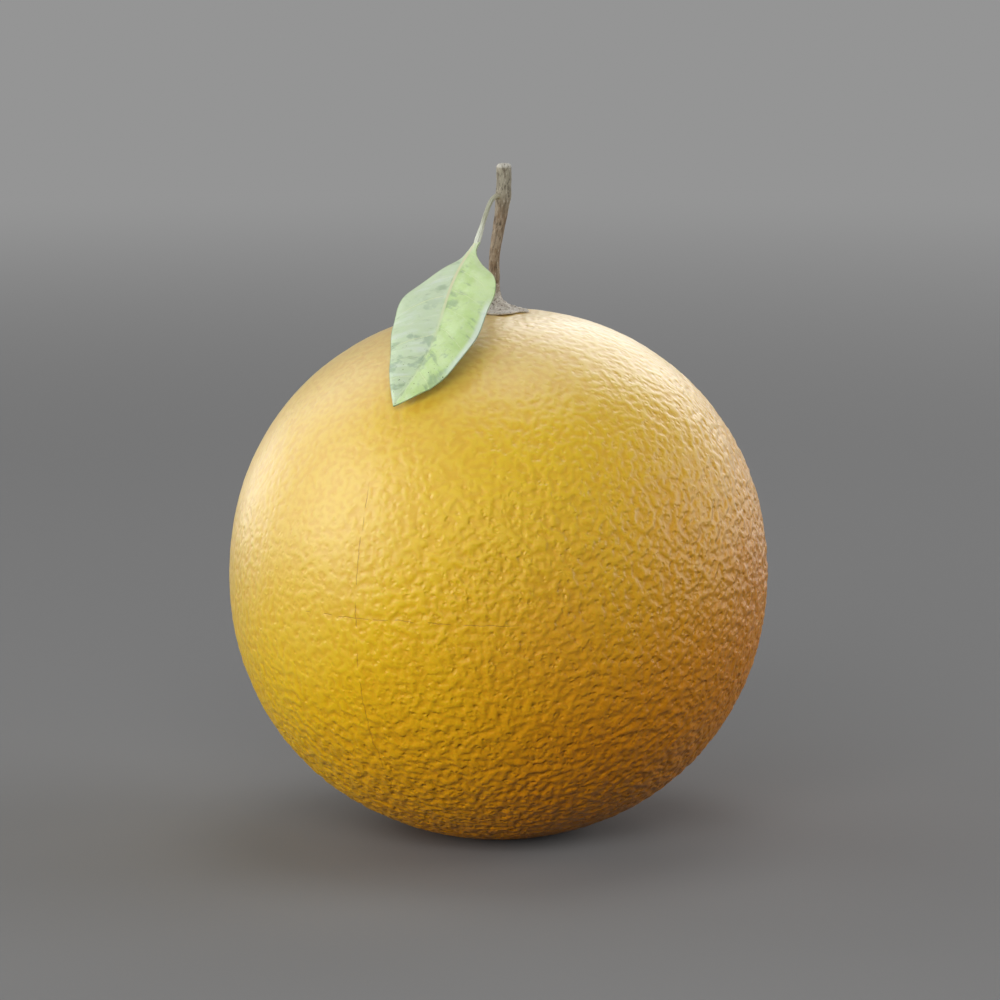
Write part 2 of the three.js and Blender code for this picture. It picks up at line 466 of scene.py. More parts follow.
def peel_colour(tree, place, patches, dented, scar):
    """Yellow, with painted shade as darker orange low on the right and painted sheen on top and
    cheek.
    """
    # Painted shade: the peel is painted a darker orange towards the lower right, the side away from
    # the lamps.
    lean = place.vector("DOT_PRODUCT", SHADED_WAY, output="Value")
    shaded_share = (lean + patches * (20 * MM)).ramp(*SHADE_FADE)
    colour = mix_colour(tree, shaded_share, YELLOW_PEEL, SHADED_ORANGE_PEEL)
    # Painted sheen: a pale wash high on the fruit, where the lamps behind and above gleam on the
    # peel.
    crown = (place.parts()[2] + patches * (10 * MM)).ramp(*CROWN_FADE)
    colour = mix_colour(tree, crown * 0.25, colour, CROWN_SHEEN_PAINT)
    # Painted sheen: a pale wash on the cheek that faces the left lamps.
    cheek = smoothness(tree, place).ramp(0.5, 1.0)
    colour = mix_colour(tree, cheek * 0.12, colour, CHEEK_SHEEN_PAINT)
    # Painted shade: the dents are painted a darker orange.
    colour = mix_colour(tree, dented * 0.3, colour, DENT_SHADE_ORANGE)
    return mix_colour(tree, scar * 0.55, colour, SCAR_BROWN)


def peel_bump(tree, place, dented, scar):
    """The relief that is too fine for the mesh: grain, dents, oil pits and scars."""
    grain = noise_field(tree, place, GRAIN_SPACING, detail=1) - 0.5
    relief = grain * GRAIN_HEIGHT - dented * FINE_DENT_DEPTH - oil_pits(tree, place) * PIT_DEPTH
    return add_bump(tree, relief * roughening(tree, place) - scar * SCAR_DEPTH)


def peel_material():
    """Peel with its oils: a soft gloss of its own, under a waxy bloom that is fullest high up."""
    material, tree, output = new_material("Peel")
    place = reading(tree, "ShaderNodeTexCoord", "Object")
    patches = noise_field(tree, place, 24 * MM, detail=2) - 0.5
    dented = dents(tree, place)
    scar = scars(tree, place)
    bump = peel_bump(tree, place, dented, scar)
    sockets = {
        "Base Color": peel_colour(tree, place, patches, dented, scar),
        "Roughness": noise_field(tree, place, 6 * MM, detail=3).ramp(0.3, 0.7, 0.36, 0.46),
        "IOR": 1.42,
        "Coat Weight": (place.parts()[2] + patches * (16 * MM)).ramp(*WAX_FADE, 0.15, 1.0),
        "Coat Roughness": 0.42,
        "Coat IOR": 1.65,
        "Normal": bump,
        "Coat Normal": bump,
        "Subsurface Weight": 0.12,
        "Subsurface Radius": (1.0, 0.4, 0.08),
        "Subsurface Scale": 1.2 * MM,
    }
    add_principled(tree, output, sockets)
    return material


def oval_place(tree, direction, size):
    """Where the smooth peel lies in a direction: wider than high, dipped on top, flat below."""
    x, y, z = direction.parts()
    side = (x * x + y * y) ** 0.5
    upper = z.math("GREATER_THAN", 0)
    squareness = LOWER_SQUARENESS + upper * (UPPER_SQUARENESS - LOWER_SQUARENESS)
    half = size["Lower Half"] + upper * (size["Upper Half"] - size["Lower Half"])
    reach = (side / size["Radius"]) ** squareness + (z.math("ABSOLUTE") / half) ** squareness
    reach = reach ** (squareness**-1 * -1)
    around = y.math("ARCTAN2", x)
    swell = 1
    for count, share, turn in SWELLS:
        swell = swell + (around * count + turn).math("COSINE") * share
    basin = ((side * reach / size["Basin Radius"]) ** 2 * -1).math("EXPONENT") * size["Basin Depth"]
    height = size["Equator Height"] + z * reach - basin * upper
    height = height.math("SMOOTH_MAX", 0.0, REST_ROUNDING)
    sideways = reach * swell
    return joined(tree, x * sideways, y * sideways, height)


def peel_tree():
    tree = bpy.data.node_groups.new("Peel", "GeometryNodeTree")
    size = add_inputs(
        tree,
        {
            "Radius": ("NodeSocketFloat", PEEL_RADIUS),
            "Equator Height": ("NodeSocketFloat", EQUATOR_HEIGHT),
            "Upper Half": ("NodeSocketFloat", UPPER_HALF),
            "Lower Half": ("NodeSocketFloat", LOWER_HALF),
            "Basin Depth": ("NodeSocketFloat", BASIN_DEPTH),
            "Basin Radius": ("NodeSocketFloat", BASIN_RADIUS),
            "Pebble Height": ("NodeSocketFloat", PEBBLE_HEIGHT),
            "Dent Depth": ("NodeSocketFloat", DENT_DEPTH),
            "Uneven Height": ("NodeSocketFloat", UNEVEN_HEIGHT),
            "Material": ("NodeSocketMaterial", None),
        },
    )

    # A cube's grid of points, spread evenly, gives a direction for every point of the peel.
    counts = {"Vertices " + axis: PEEL_VERTICES for axis in "XYZ"}
    cube = add_node(tree, "GeometryNodeMeshCube", {"Size": (2, 2, 2)} | counts)
    corner = reading(tree, "GeometryNodeInputPosition")
    direction = corner.scaled(math.pi / 4).vector("TANGENT").vector("NORMALIZE")
    sockets = {"Geometry": cube.outputs[0], "Position": oval_place(tree, direction, size)}
    oval = add_node(tree, "GeometryNodeSetPosition", sockets)

    # Pebbles, the dents between them and low unevenness stand along the normal, and fade out
    # towards the resting spot.
    place = reading(tree, "GeometryNodeInputPosition")
    warped = shaken(tree, place, 3.5 * MM, 1.4 * MM)
    pebbles = noise_field(tree, warped, PEBBLE_SPACING, detail=1) - 0.5
    uneven = noise_field(tree, place, UNEVEN_SPACING, detail=1) - 0.5
    relief = pebbles * size["Pebble Height"] - dents(tree, place) * size["Dent Depth"]
    relief = relief * roughening(tree, place) + uneven * size["Uneven Height"]
    relief = relief * place.parts()[2].ramp(*REST_FADE)
    normal = reading(tree, "GeometryNodeInputNormal")
    sockets = {"Geometry": oval.outputs[0], "Offset": normal.scaled(relief)}
    pebbled = add_node(tree, "GeometryNodeSetPosition", sockets)
    finish_tree(tree, pebbled.outputs[0], size["Material"])
    return tree


peel = grow("Peel", peel_tree(), {"Material": peel_material()})
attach(peel, "root")
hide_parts("fruit")


# ---------------------------------------------------------------------------------------------
# Calyx: the dry, woody button that holds the fruit to its twig. Its five lobes lie on the peel,
# and it narrows to the twig. It is wrinkled and cracked like old bark, and its rim lifts a little.

CALYX_CENTRE = Vector((-0.65, 0, 0)) * MM
CALYX_LOBES = 5
CALYX_LOBE_SHARE = 0.13
CALYX_SIDES = 200
CALYX_RINGS = 90

# The outline from the twig out to the rim and back below it, as radius and lift off the peel,
# and how far the rim is ragged and wavy and the bark rises in ridges and cracks, in millimetres.
CALYX_PROFILE = [
    (0.78, 4.4),
    (0.84, 3.4),
    (1.0, 2.55),
    (1.35, 1.8),
    (1.95, 1.25),
    (2.8, 0.85),
    (3.7, 0.58),
    (4.3, 0.42),
    (4.5, 0.26),
    (4.3, 0.12),
    (3.6, -0.1),
    (2.4, -0.5),
]
CALYX_REACH = 4.5
RIM_RAGGED = 0.35
RIM_WAVE = 0.12
RIDGE_RISE = 0.22
CRACK_RISE = 0.16
DEEPEST_CRACK = -0.15

CALYX_GREY = (0.48, 0.43, 0.36, 1)
CALYX_PALE = (0.66, 0.62, 0.55, 1)
CALYX_NECK = (0.25, 0.185, 0.12, 1)
CRUMB_DARK = (0.15, 0.11, 0.08, 1)
CRUMB_HIGHLIGHT_PAINT = (0.85, 0.82, 0.76, 1)


def smooth_path(knots, count):
    """Evenly spaced points on the Catmull-Rom curve through the knots."""
    knots = np.array(knots, float)
    ends = np.vstack([2 * knots[0] - knots[1], knots, 2 * knots[-1] - knots[-2]])
    place = np.linspace(0, len(knots) - 1, 20 * count)
    first = np.minimum(place.astype(int), len(knots) - 2)
    t = (place - first)[:, None]
    before, start, end, after = (ends[first + i] for i in range(4))
    square = 2 * before - 5 * start + 4 * end - after
    cube = 3 * (start - end) + after - before
    curve = start + 0.5 * t * (end - before + t * (square + t * cube))
    travel = np.concatenate([[0], np.cumsum(np.linalg.norm(np.diff(curve, axis=0), axis=1))])
    even = np.linspace(0, travel[-1], count)
    return np.stack([np.interp(even, travel, column) for column in curve.T], axis=1)


def skin(name, rings, material):
    """A closed piece over rings of points in millimetres, each end closed by a fan of triangles."""
    count, sides = rings.shape[:2]
    points = np.vstack([rings.reshape(-1, 3), rings[0].mean(0), rings[-1].mean(0)])
    faces = []
    for ring in range(count - 1):
        for side in range(sides):
            after = (side + 1) % sides
            low, high = ring * sides, (ring + 1) * sides
            faces.append((low + side, low + after, high + after, high + side))
    for side in range(sides):
        after = (side + 1) % sides
        last = (count - 1) * sides
        faces.append((after, side, count * sides))
        faces.append((last + side, last + after, count * sides + 1))
    mesh = bpy.data.meshes.new(name)
    mesh.from_pydata(points * MM, [], faces)
    mesh.polygons.foreach_set("use_smooth", [True] * len(faces))
    mesh.materials.append(material)
    piece = bpy.data.objects.new(name, mesh)
    bpy.context.scene.collection.objects.link(piece)
    return piece


def calyx_material():
    """Dry grey bark, crumbly with dark cracks and a painted highlight on its raised crumbs, and brown
    towards the twig.
    """
    material, tree, output = new_material("Calyx_bark")
    place = reading(tree, "ShaderNodeTexCoord", "Object")
    crumbs = noise_field(tree, place, 0.38 * MM, detail=4, roughness=0.65)
    patches = noise_field(tree, place, 1.8 * MM, detail=2)
    colour = mix_colour(tree, patches.ramp(0.35, 0.65), CALYX_GREY, CALYX_PALE)
    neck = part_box("calyx")[1].z
    level = place.parts()[2] + (patches - 0.5) * (1.5 * MM)
    colour = mix_colour(tree, level.ramp(neck - 2.4 * MM, neck - 0.4 * MM) * 0.85, colour, CALYX_NECK)
    colour = mix_colour(tree, crumbs.ramp(0.48, 0.34), colour, CRUMB_DARK)
    # Painted highlight on the raised crumbs of the bump.
    colour = mix_colour(tree, crumbs.ramp(0.56, 0.72), colour, CRUMB_HIGHLIGHT_PAINT)
    bump = add_bump(tree, crumbs * (0.2 * MM))
    add_principled(tree, output, {"Base Color": colour, "Roughness": 0.85, "Normal": bump})
    return material


def calyx_point(top, around, radius, lift):
    """A point of the button, in millimetres, laid on the peel below it and lifted off it."""
    spread = (radius / CALYX_REACH) ** 2
    facing = Vector((math.cos(around), math.sin(around), 0))
    lobe = 1 + CALYX_LOBE_SHARE * math.cos(CALYX_LOBES * around) * spread
    reach = lobe * radius + RIM_RAGGED * spread * noise.noise(facing * 3.1)
    x, y = reach * facing.x, reach * facing.y
    ridge = RIDGE_RISE * noise.noise(facing * 5.5 + Vector((0, 0, 0.35 * radius)))
    rise = ridge * min(radius / 2, 1) + CRACK_RISE * noise.noise(Vector((x, y, lift)) * 1.9)
    rise = max(rise, DEEPEST_CRACK) * min(1, max(lift, 0) + 0.2)
    wave = RIM_WAVE * spread * noise.noise(facing * 2.3 + Vector((4, 0, 0)))
    start = CALYX_CENTRE + Vector((x, y, 0)) * MM
    ground = top.ray_cast(start + Vector((0, 0, cad_high.z)), Vector((0, 0, -1)))[0]
    return start.x / MM, start.y / MM, ground.z / MM + lift + rise + wave


def make_calyx():
    top = BVHTree.FromObject(peel, bpy.context.evaluated_depsgraph_get())
    profile = smooth_path(CALYX_PROFILE, CALYX_RINGS)[::-1]
    turns = [2 * math.pi * side / CALYX_SIDES for side in range(CALYX_SIDES)]
    rings = [[calyx_point(top, turn, radius, lift) for turn in turns] for radius, lift in profile]
    return skin("Calyx_button", np.array(rings), calyx_material())


calyx = make_calyx()
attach(calyx, "root")
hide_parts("calyx")


# ---------------------------------------------------------------------------------------------
# Twig: the short cut end of the branch, thin grey-brown bark in fine lengthwise ridges over
# wood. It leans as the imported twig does, swells where the leaf stalk leaves it, and its cut end
# is rounded and dry.

TWIG_SIDES = 72
TWIG_RIDGE = 0.16 * MM
TWIG_RIDGE_SPACING = 0.42 * MM
TWIG_KNOB = 0.14 * MM
TWIG_KNOB_SPACING = 1.4 * MM
STREAK_SHARE = 0.12

# Along the twig, in millimetres: the step between its rings, how deep its foot stands in the
# calyx, the swell at the leaf stalk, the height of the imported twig's rounded end, and the cut
# end's rounded edge and low dome. The dome's rings are shares of its radius, and the last three
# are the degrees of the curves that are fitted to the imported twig.
TWIG_STEP = 0.09
TWIG_FOOT = 2.2
SWELL_SHARE = 0.12
SWELL_REACH = 1.1
SWELL_DROP = 0.5
PACKED_ROUNDING = 0.6
CUT_EDGE = 0.55
CUT_DOME = 0.07
CUT_RINGS = (0.8, 0.6, 0.4, 0.2, 0.04)
CUT_TURNS = np.linspace(0, math.pi / 2, 9)[1:]
ACROSS_DEGREE = 7
DEEP_DEGREE = 5
GIRTH_DEGREE = 5

TWIG_BROWN = (0.2, 0.135, 0.08, 1)
TWIG_GREY = (0.29, 0.23, 0.16, 1)
TWIG_UPPER = (0.29, 0.28, 0.215, 1)
STRAND_DARK = (0.1, 0.075, 0.05, 1)
FIBRE_DARK = (0.065, 0.05, 0.035, 1)
FIBRE_PALE = (0.5, 0.46, 0.38, 1)
CUT_WOOD = (0.48, 0.46, 0.4, 1)


def cad_rings(node):
    """Heights, middles and radii of the rings of points that an upright CAD tube is made of."""
    points = np.array([vertex.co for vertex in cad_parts[node].data.vertices]) / MM
    levels = np.unique(points[:, 2].round(3))
    middles, radii = [], []
    for level in levels:
        ring = points[abs(points[:, 2] - level) < 0.002][:, :2]
        middle = (ring.min(0) + ring.max(0)) / 2
        middles.append(middle)
        radii.append(np.linalg.norm(ring - middle, axis=1).max())
    return levels, np.array(middles), np.array(radii)


def line_mesh(name, points, girths):
    """A bare line of points in millimetres that carries the girth of a stem at each point."""
    mesh = bpy.data.meshes.new(name)
    mesh.from_pydata(np.array(points) * MM, [(i, i + 1) for i in range(len(points) - 1)], [])
    mesh.attributes.new("girth", "FLOAT", "POINT").data.foreach_set("value", np.array(girths) * MM)
    return mesh


def store(tree, geometry, name, value, kind="FLOAT"):
    """Stores a value on the points of a geometry, under a name."""
    sockets = {"Geometry": geometry, "Name": name, "Value": value}
    return add_node(tree, "GeometryNodeStoreNamedAttribute", sockets, data_type=kind).outputs[0]


def stored(tree, name, kind="FLOAT"):
    """The value stored on each point under a name."""
    node = add_node(tree, "GeometryNodeInputNamedAttribute", {"Name": name}, data_type=kind)
    return Field(tree, node.outputs["Attribute"])


def stem_tree(name, sides, ridge, ridge_spacing, knob, knob_spacing):
    """Sweeps a round stem along a line, and raises lengthwise ridges and low knobs on it."""
    tree = bpy.data.node_groups.new(name, "GeometryNodeTree")
    size = add_inputs(
        tree,
        {
            "Line": ("NodeSocketGeometry", None),
            "Ridge Height": ("NodeSocketFloat", ridge),
            "Ridge Spacing": ("NodeSocketFloat", ridge_spacing),
            "Knob Height": ("NodeSocketFloat", knob),
            "Knob Spacing": ("NodeSocketFloat", knob_spacing),
            "Material": ("NodeSocketMaterial", None),
        },
    )
    curve = add_node(tree, "GeometryNodeMeshToCurve", {0: size["Line"]}).outputs[0]
    curve = store(tree, curve, "travel", reading(tree, "GeometryNodeSplineParameter", "Length"))
    sockets = {"Resolution": sides, "Radius": 1.0}
    circle = add_node(tree, "GeometryNodeCurvePrimitiveCircle", sockets).outputs[0]
    spot = reading(tree, "GeometryNodeInputPosition")
    circle = store(tree, circle, "spoke", spot, "FLOAT_VECTOR")
    sockets = {"Curve": curve, "Profile Curve": circle, "Scale": stored(tree, "girth")}
    tube = add_node(tree, "GeometryNodeCurveToMesh", sockets | {"Fill Caps": True}).outputs[0]

    # Each point's place on a straight stem 1 mm in radius, for patterns that follow the bark.
    spoke = stored(tree, "spoke", "FLOAT_VECTOR").scaled(MM)
    travel = stored(tree, "travel")
    bark = spoke.vector("ADD", joined(tree, z=travel))
    tube = store(tree, tube, "bark", bark, "FLOAT_VECTOR")

    # Ridges are drawn out along the stem, and knobs aren't.
    streak = spoke.vector("ADD", joined(tree, z=travel * STREAK_SHARE))
    ridges = noise_field(tree, streak, size["Ridge Spacing"], detail=2) - 0.5
    knobs = noise_field(tree, bark, size["Knob Spacing"], detail=2) - 0.5
    relief = ridges * size["Ridge Height"] + knobs * size["Knob Height"]
    normal = reading(tree, "GeometryNodeInputNormal")
    sockets = {"Geometry": tube, "Offset": normal.scaled(relief)}
    ridged = add_node(tree, "GeometryNodeSetPosition", sockets)
    finish_tree(tree, ridged.outputs[0], size["Material"])
    return tree


def painted(tree, name, output="Fac"):
    """A value stored on the piece's points, as its material reads it."""
    return reading(tree, "ShaderNodeAttribute", output, attribute_name=name)


def bark_place(tree):
    """The place on the straightened bark, and the same with patterns drawn out along it."""
    bark = painted(tree, "bark", "Vector")
    return bark, bark.vector("MULTIPLY", (1, 1, STREAK_SHARE))


def twig_material(length):
    """Brown and grey bark in strands, greyer near the top, with a pale dry end where it was cut."""
    material, tree, output = new_material("Twig_bark")
    bark, streak = bark_place(tree)
    travel = bark.parts()[2]
    drawn = bark.vector("MULTIPLY", (1, 1, 0.3))
    fibres = noise_field(tree, drawn, 0.3 * MM, detail=4, roughness=0.65)
    strands = noise_field(tree, streak, 0.45 * MM, detail=2)
    patches = noise_field(tree, bark, 1.6 * MM, detail=3)
    colour = mix_colour(tree, patches.ramp(0.38, 0.62), TWIG_BROWN, TWIG_GREY)
    upper = travel.ramp(0.55 * length * MM, 0.85 * length * MM)
    colour = mix_colour(tree, upper * 0.75, colour, TWIG_UPPER)
    colour = mix_colour(tree, strands.ramp(0.48, 0.32) * 0.5, colour, STRAND_DARK)
    colour = mix_colour(tree, fibres.ramp(0.47, 0.35) * 0.85, colour, FIBRE_DARK)
    colour = mix_colour(tree, fibres.ramp(0.56, 0.7) * 0.8, colour, FIBRE_PALE)
    end = travel.ramp((length - 0.75) * MM, (length - 0.25) * MM)
    colour = mix_colour(tree, end * fibres.ramp(0.32, 0.5), colour, CUT_WOOD)
    bump = add_bump(tree, fibres * (0.14 * MM) + strands * (0.1 * MM))
    add_principled(tree, output, {"Base Color": colour, "Roughness": 0.8, "Normal": bump})
    return material


def twig_line():
    """The twig's middle line and girths, in millimetres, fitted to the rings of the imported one."""
    levels, middles, radii = cad_rings("stem")
    top = levels[-1]
    shoulder = top - (CUT_EDGE + CUT_DOME)
    below = levels <= top - PACKED_ROUNDING
    fit = np.polynomial.Polynomial.fit
    across = fit(levels, middles[:, 0], ACROSS_DEGREE)
    deep = fit(levels, middles[:, 1], DEEP_DEGREE)
    girth = fit(levels[below], radii[below], GIRTH_DEGREE)
    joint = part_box("petiole")[1].z / MM - SWELL_DROP
    heights = np.arange(levels[0] - TWIG_FOOT, shoulder, TWIG_STEP)
    inside = np.maximum(heights, levels[0])
    swell = 1 + SWELL_SHARE * np.exp(-(((heights - joint) / SWELL_REACH) ** 2))
    points = np.stack([across(inside), deep(inside), heights], axis=1).tolist()
    girths = (girth(inside) * swell).tolist()

    # The cut end: a quarter round, then almost flat rings that close on the middle.
    x, y = points[-1][:2]
    edge = girths[-1]
    for turn in CUT_TURNS:
        points.append([x, y, shoulder + CUT_EDGE * math.sin(turn)])
        girths.append(edge - CUT_EDGE * (1 - math.cos(turn)))
    for ring, share in enumerate(CUT_RINGS, 1):
        points.append([x, y, shoulder + CUT_EDGE + CUT_DOME * ring / len(CUT_RINGS)])
        girths.append((edge - CUT_EDGE) * share)
    return points, girths


def make_twig():
    points, girths = twig_line()
    spacings = (TWIG_RIDGE, TWIG_RIDGE_SPACING, TWIG_KNOB, TWIG_KNOB_SPACING)
    tree = stem_tree("Twig", TWIG_SIDES, *spacings)
    bark = twig_material(points[-1][2] - points[0][2])
    return grow("Twig_wood", tree, {"Material": bark}, line_mesh("Twig_line", points, girths))


twig = make_twig()
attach(twig, "root")
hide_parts("stem")


# ---------------------------------------------------------------------------------------------
# Leaf stalk: a soft round stalk, greyish green, that grows out of the twig, arches over and
# runs down into the midrib of the blade. It widens a little at both ends.

STALK_SIDES = 36
STALK_POINTS = 130
STALK_RIDGE = 0.04 * MM
STALK_RIDGE_SPACING = 0.3 * MM
STALK_KNOB = 0.05 * MM
STALK_KNOB_SPACING = 0.9 * MM

# The stalk's middle line and girth, in millimetres.
STALK_ROUTE = [
    (0.3, -0.15, 95.35),
    (-0.3, -0.7, 95.5),
    (-0.95, -1.6, 95.1),
    (-1.45, -2.3, 94.2),
    (-2, -3.1, 92.7),
    (-2.55, -3.95, 91),
    (-3.05, -4.8, 89.45),
    (-3.5, -5.5, 88.2),
]
STALK_GIRTH = 0.33

# Where it widens: by what share of its girth, how far along it, and over what share of it.
STALK_FLARES = [(0.55, 0, 0.1), (0.45, 0.84, 0.16)]

STALK_GREEN = (0.25, 0.25, 0.17, 1)
STALK_GREY = (0.43, 0.44, 0.33, 1)
STALK_ROOT = (0.34, 0.29, 0.2, 1)
STALK_PALE = (0.66, 0.69, 0.58, 1)


def stalk_material(length):
    """Soft greyish green, brown where it leaves the twig and pale towards the blade."""
    material, tree, output = new_material("Leaf_stalk")
    bark, streak = bark_place(tree)
    travel = bark.parts()[2]
    strands = noise_field(tree, streak, 0.25 * MM, detail=3)
    colour = mix_colour(tree, strands.ramp(0.35, 0.65), STALK_GREEN, STALK_GREY)
    near = travel.ramp(0.3 * MM, 2.6 * MM, 1.0, 0.0)
    colour = mix_colour(tree, near * 0.7, colour, STALK_ROOT)
    pale = travel.ramp(0.45 * length * MM, 0.85 * length * MM)
    colour = mix_colour(tree, pale * strands.ramp(0.3, 0.6, 0.4, 0.95), colour, STALK_PALE)
    bump = add_bump(tree, strands * (0.09 * MM))
    add_principled(tree, output, {"Base Color": colour, "Roughness": 0.55, "Normal": bump})
    return material


def make_stalk():
    points = smooth_path(STALK_ROUTE, STALK_POINTS)
    along = np.linspace(0, 1, STALK_POINTS)
    flare = sum(more * np.exp(-(((along - at) / over) ** 2)) for more, at, over in STALK_FLARES)
    line = line_mesh("Stalk_line", points, STALK_GIRTH * (1 + flare))
    spacings = (STALK_RIDGE, STALK_RIDGE_SPACING, STALK_KNOB, STALK_KNOB_SPACING)
    tree = stem_tree("Stalk", STALK_SIDES, *spacings)
    length = np.linalg.norm(np.diff(points, axis=0), axis=1).sum()
    return grow("Stalk", tree, {"Material": stalk_material(length)}, line)


stalk = make_stalk()
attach(stalk, "root")
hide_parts("petiole")


# ---------------------------------------------------------------------------------------------
# Leaf blade: a young waxy leaf, thin and folded along its midrib, with a drawn-out base and a
# pointed tip. A pale midrib fades towards the tip, and side veins run off it to the margins.

# The blade's own places and sizes, in millimetres.
BLADE_BASE = Vector((-3.2, -5, 89.1))
BLADE_TIP = Vector((-14.95, -27, 67.9))
BLADE_ACROSS = Vector((12.2, -5.5, -1.05))
BLADE_HALF_WIDTH = 6.9
BLADE_TIP_HALF = 0.12
BLADE_THICKNESS = 0.34
BLADE_RIM = 0.12
BLADE_BOW = 1.2
BLADE_BEND = 1.2
BLADE_SWAY = -0.8
MARGIN_WAVE = 0.22
QUILT_RISE = -0.1
QUILT_WIDTH = 0.9
RIB_RISE = 0.07
RIB_BELOW = -0.28
MIDRIB_WIDTH = 0.26
VEIN_BELOW = -0.05
VEIN_WIDTH = 0.25
VEIN_SPACING = 3.9
VEIN_WOBBLE = 0.35

# How the blade widens on its right (1) and its left (-1): its half width at the stalk, how far
# along it opens, and how sharply. Then how full its tip is, how steeply it folds and its margins
# curl back, how its side veins lean and curve, how far the right ones are set off from the left
# as a share of their spacing, and how finely its mesh is divided.
SHOULDERS = {1: (0.62, 0.2, 2.5), -1: (0.35, 0.305, 2.85)}
TIP_FULLNESS = 4.8
FOLD_SLOPE = 0.28
MARGIN_CURL = 0.6
VEIN_ANGLE = math.radians(59)
VEIN_CURVE = 0.035
VEIN_OFFSET = 0.33
BLADE_ROWS = 240
BLADE_COLUMNS = 110

LEAF_GREEN = (0.42, 0.56, 0.23, 1)
LEAF_LIGHT = (0.5, 0.63, 0.32, 1)
LEAF_SHEEN_GREY = (0.51, 0.6, 0.45, 1)
LEAF_SHEEN_SILVER = (0.58, 0.66, 0.56, 1)
LEAF_DULL = (0.22, 0.31, 0.19, 1)
LEAF_BRUISE = (0.25, 0.35, 0.24, 1)
LEAF_SOFT = (0.5, 0.6, 0.4, 1)
VEIN_PALE = (0.68, 0.72, 0.42, 1)
MIDRIB_PALE = (0.62, 0.6, 0.38, 1)
NECK_PALE = (0.66, 0.7, 0.52, 1)
MARGIN_SHEEN_PAINT = (0.6, 0.68, 0.62, 1)
MARGIN_SHADE_PAINT = (0.13, 0.17, 0.08, 1)
SPECK_DARK = (0.1, 0.13, 0.06, 1)


def smoothstep(low, high, value):
    share = np.clip((value - low) / (high - low), 0, 1)
    return share * share * (3 - 2 * share)


def unit(rows):
    return rows / np.linalg.norm(rows, axis=-1, keepdims=True)


def half_width(along, side):
    """The blade's width on one side of the midrib, from its base (along 0) to its tip (1)."""
    base, start, sharpness = SHOULDERS[side]
    opening = 1 - np.exp(-((along / start) ** sharpness))
    closing = 1 - along**TIP_FULLNESS
    ends = base * (1 - along) + BLADE_TIP_HALF * along
    return ends + BLADE_HALF_WIDTH * opening * closing


def midrib(along, axes):
    """Points on the midrib, which bows off the fruit, bends to one side and sways a little."""
    length, across, face = axes
    sideways = BLADE_SWAY * np.sin(2 * np.pi * along) + BLADE_BEND * np.sin(np.pi * along)
    outward = 4 * BLADE_BOW * along * (1 - along)
    point = np.array(BLADE_BASE) + along[:, None] * length
    return point + sideways[:, None] * across + outward[:, None] * face


def vein_pattern(across, travel):
    """Distance to the nearest side vein in millimetres, and how strong that vein is."""
    reach = abs(across)
    right = across > 0
    places = zip(across.flat, travel.flat)
    wobble = np.array([VEIN_WOBBLE * noise.noise(Vector((x, y, 2)) * 0.35) for x, y in places])
    root = travel - reach / math.tan(VEIN_ANGLE) - VEIN_CURVE * reach**2 + wobble.reshape(reach.shape)
    count = root / VEIN_SPACING + np.where(right, VEIN_OFFSET, 0.0)
    nearest = np.round(count)
    gap = abs(count - nearest) * VEIN_SPACING * math.sin(VEIN_ANGLE)
    strength = 0.65 + 0.35 * np.sin(nearest * 2.7 + np.where(right, 1.0, 0.0))
    return gap, strength * smoothstep(0, 0.8, reach) * smoothstep(1, 0.55, reach / BLADE_HALF_WIDTH)


def skin_height(along, side, over, width, travel, gap, strength):
    """The skin's height over the flat blade: fold, thickness, ribs and veins, waves, quilting."""
    reach = abs(side)
    lift = FOLD_SLOPE * width * reach * (1 - MARGIN_CURL * reach**2)
    thick = BLADE_RIM + (BLADE_THICKNESS - BLADE_RIM) * (1 - reach**4)
    rib = np.exp(-((side * width / MIDRIB_WIDTH) ** 2)) * smoothstep(1, 0.35, along)
    veins = np.exp(-((gap / VEIN_WIDTH) ** 2)) * strength
    ribbing = np.where(over > 0, RIB_RISE * rib, RIB_BELOW * rib + VEIN_BELOW * veins)
    wave = MARGIN_WAVE * np.sin(travel * 0.85 + np.where(side > 0, 0.6, 2.4)) * reach**3
    quilt = QUILT_RISE * np.exp(-((gap / QUILT_WIDTH) ** 2)) * strength
    return lift + (over * thick / 2 + ribbing) + wave * smoothstep(0, 0.2, along) + quilt


def tissue_colour(tree, blade, patches, mottle):
    """The blade's green, with a painted sheen that greys and streaks its left half, and dull and
    bruised patches.
    """
    across, travel, _ = blade.parts()
    reach = across.math("ABSOLUTE")
    left = across.ramp(0.6, -0.6)
    colour = mix_colour(tree, patches.ramp(0.35, 0.65), LEAF_GREEN, LEAF_LIGHT)
    # Painted sheen: the left half is painted greyer.
    colour = mix_colour(tree, left * 0.75, colour, LEAF_SHEEN_GREY)

    # Painted sheen also runs in silvery streaks the way the side veins do, and the dull patches lie
    # between them.
    along_vein = reach * math.sin(VEIN_ANGLE) + travel * math.cos(VEIN_ANGLE)
    over_vein = travel * math.sin(VEIN_ANGLE) - reach * math.cos(VEIN_ANGLE)
    grain = joined(tree, along_vein * 0.3, over_vein, left * 3)
    silver = noise_field(tree, grain, 1.5, detail=3, roughness=0.6)
    colour = mix_colour(tree, silver.ramp(0.5, 0.66) * (left * 0.5 + 0.1), colour, LEAF_SHEEN_SILVER)
    dull = silver.ramp(0.46, 0.34) * patches.ramp(0.62, 0.45)
    colour = mix_colour(tree, dull * 0.65, colour, LEAF_DULL)
    bruise = noise_field(tree, blade, 2.1, detail=3).ramp(0.57, 0.66) * travel.ramp(11, 17)
    colour = mix_colour(tree, bruise * 0.55, colour, LEAF_BRUISE)
    return mix_colour(tree, mottle.ramp(0.52, 0.7) * 0.3, colour, LEAF_SOFT)


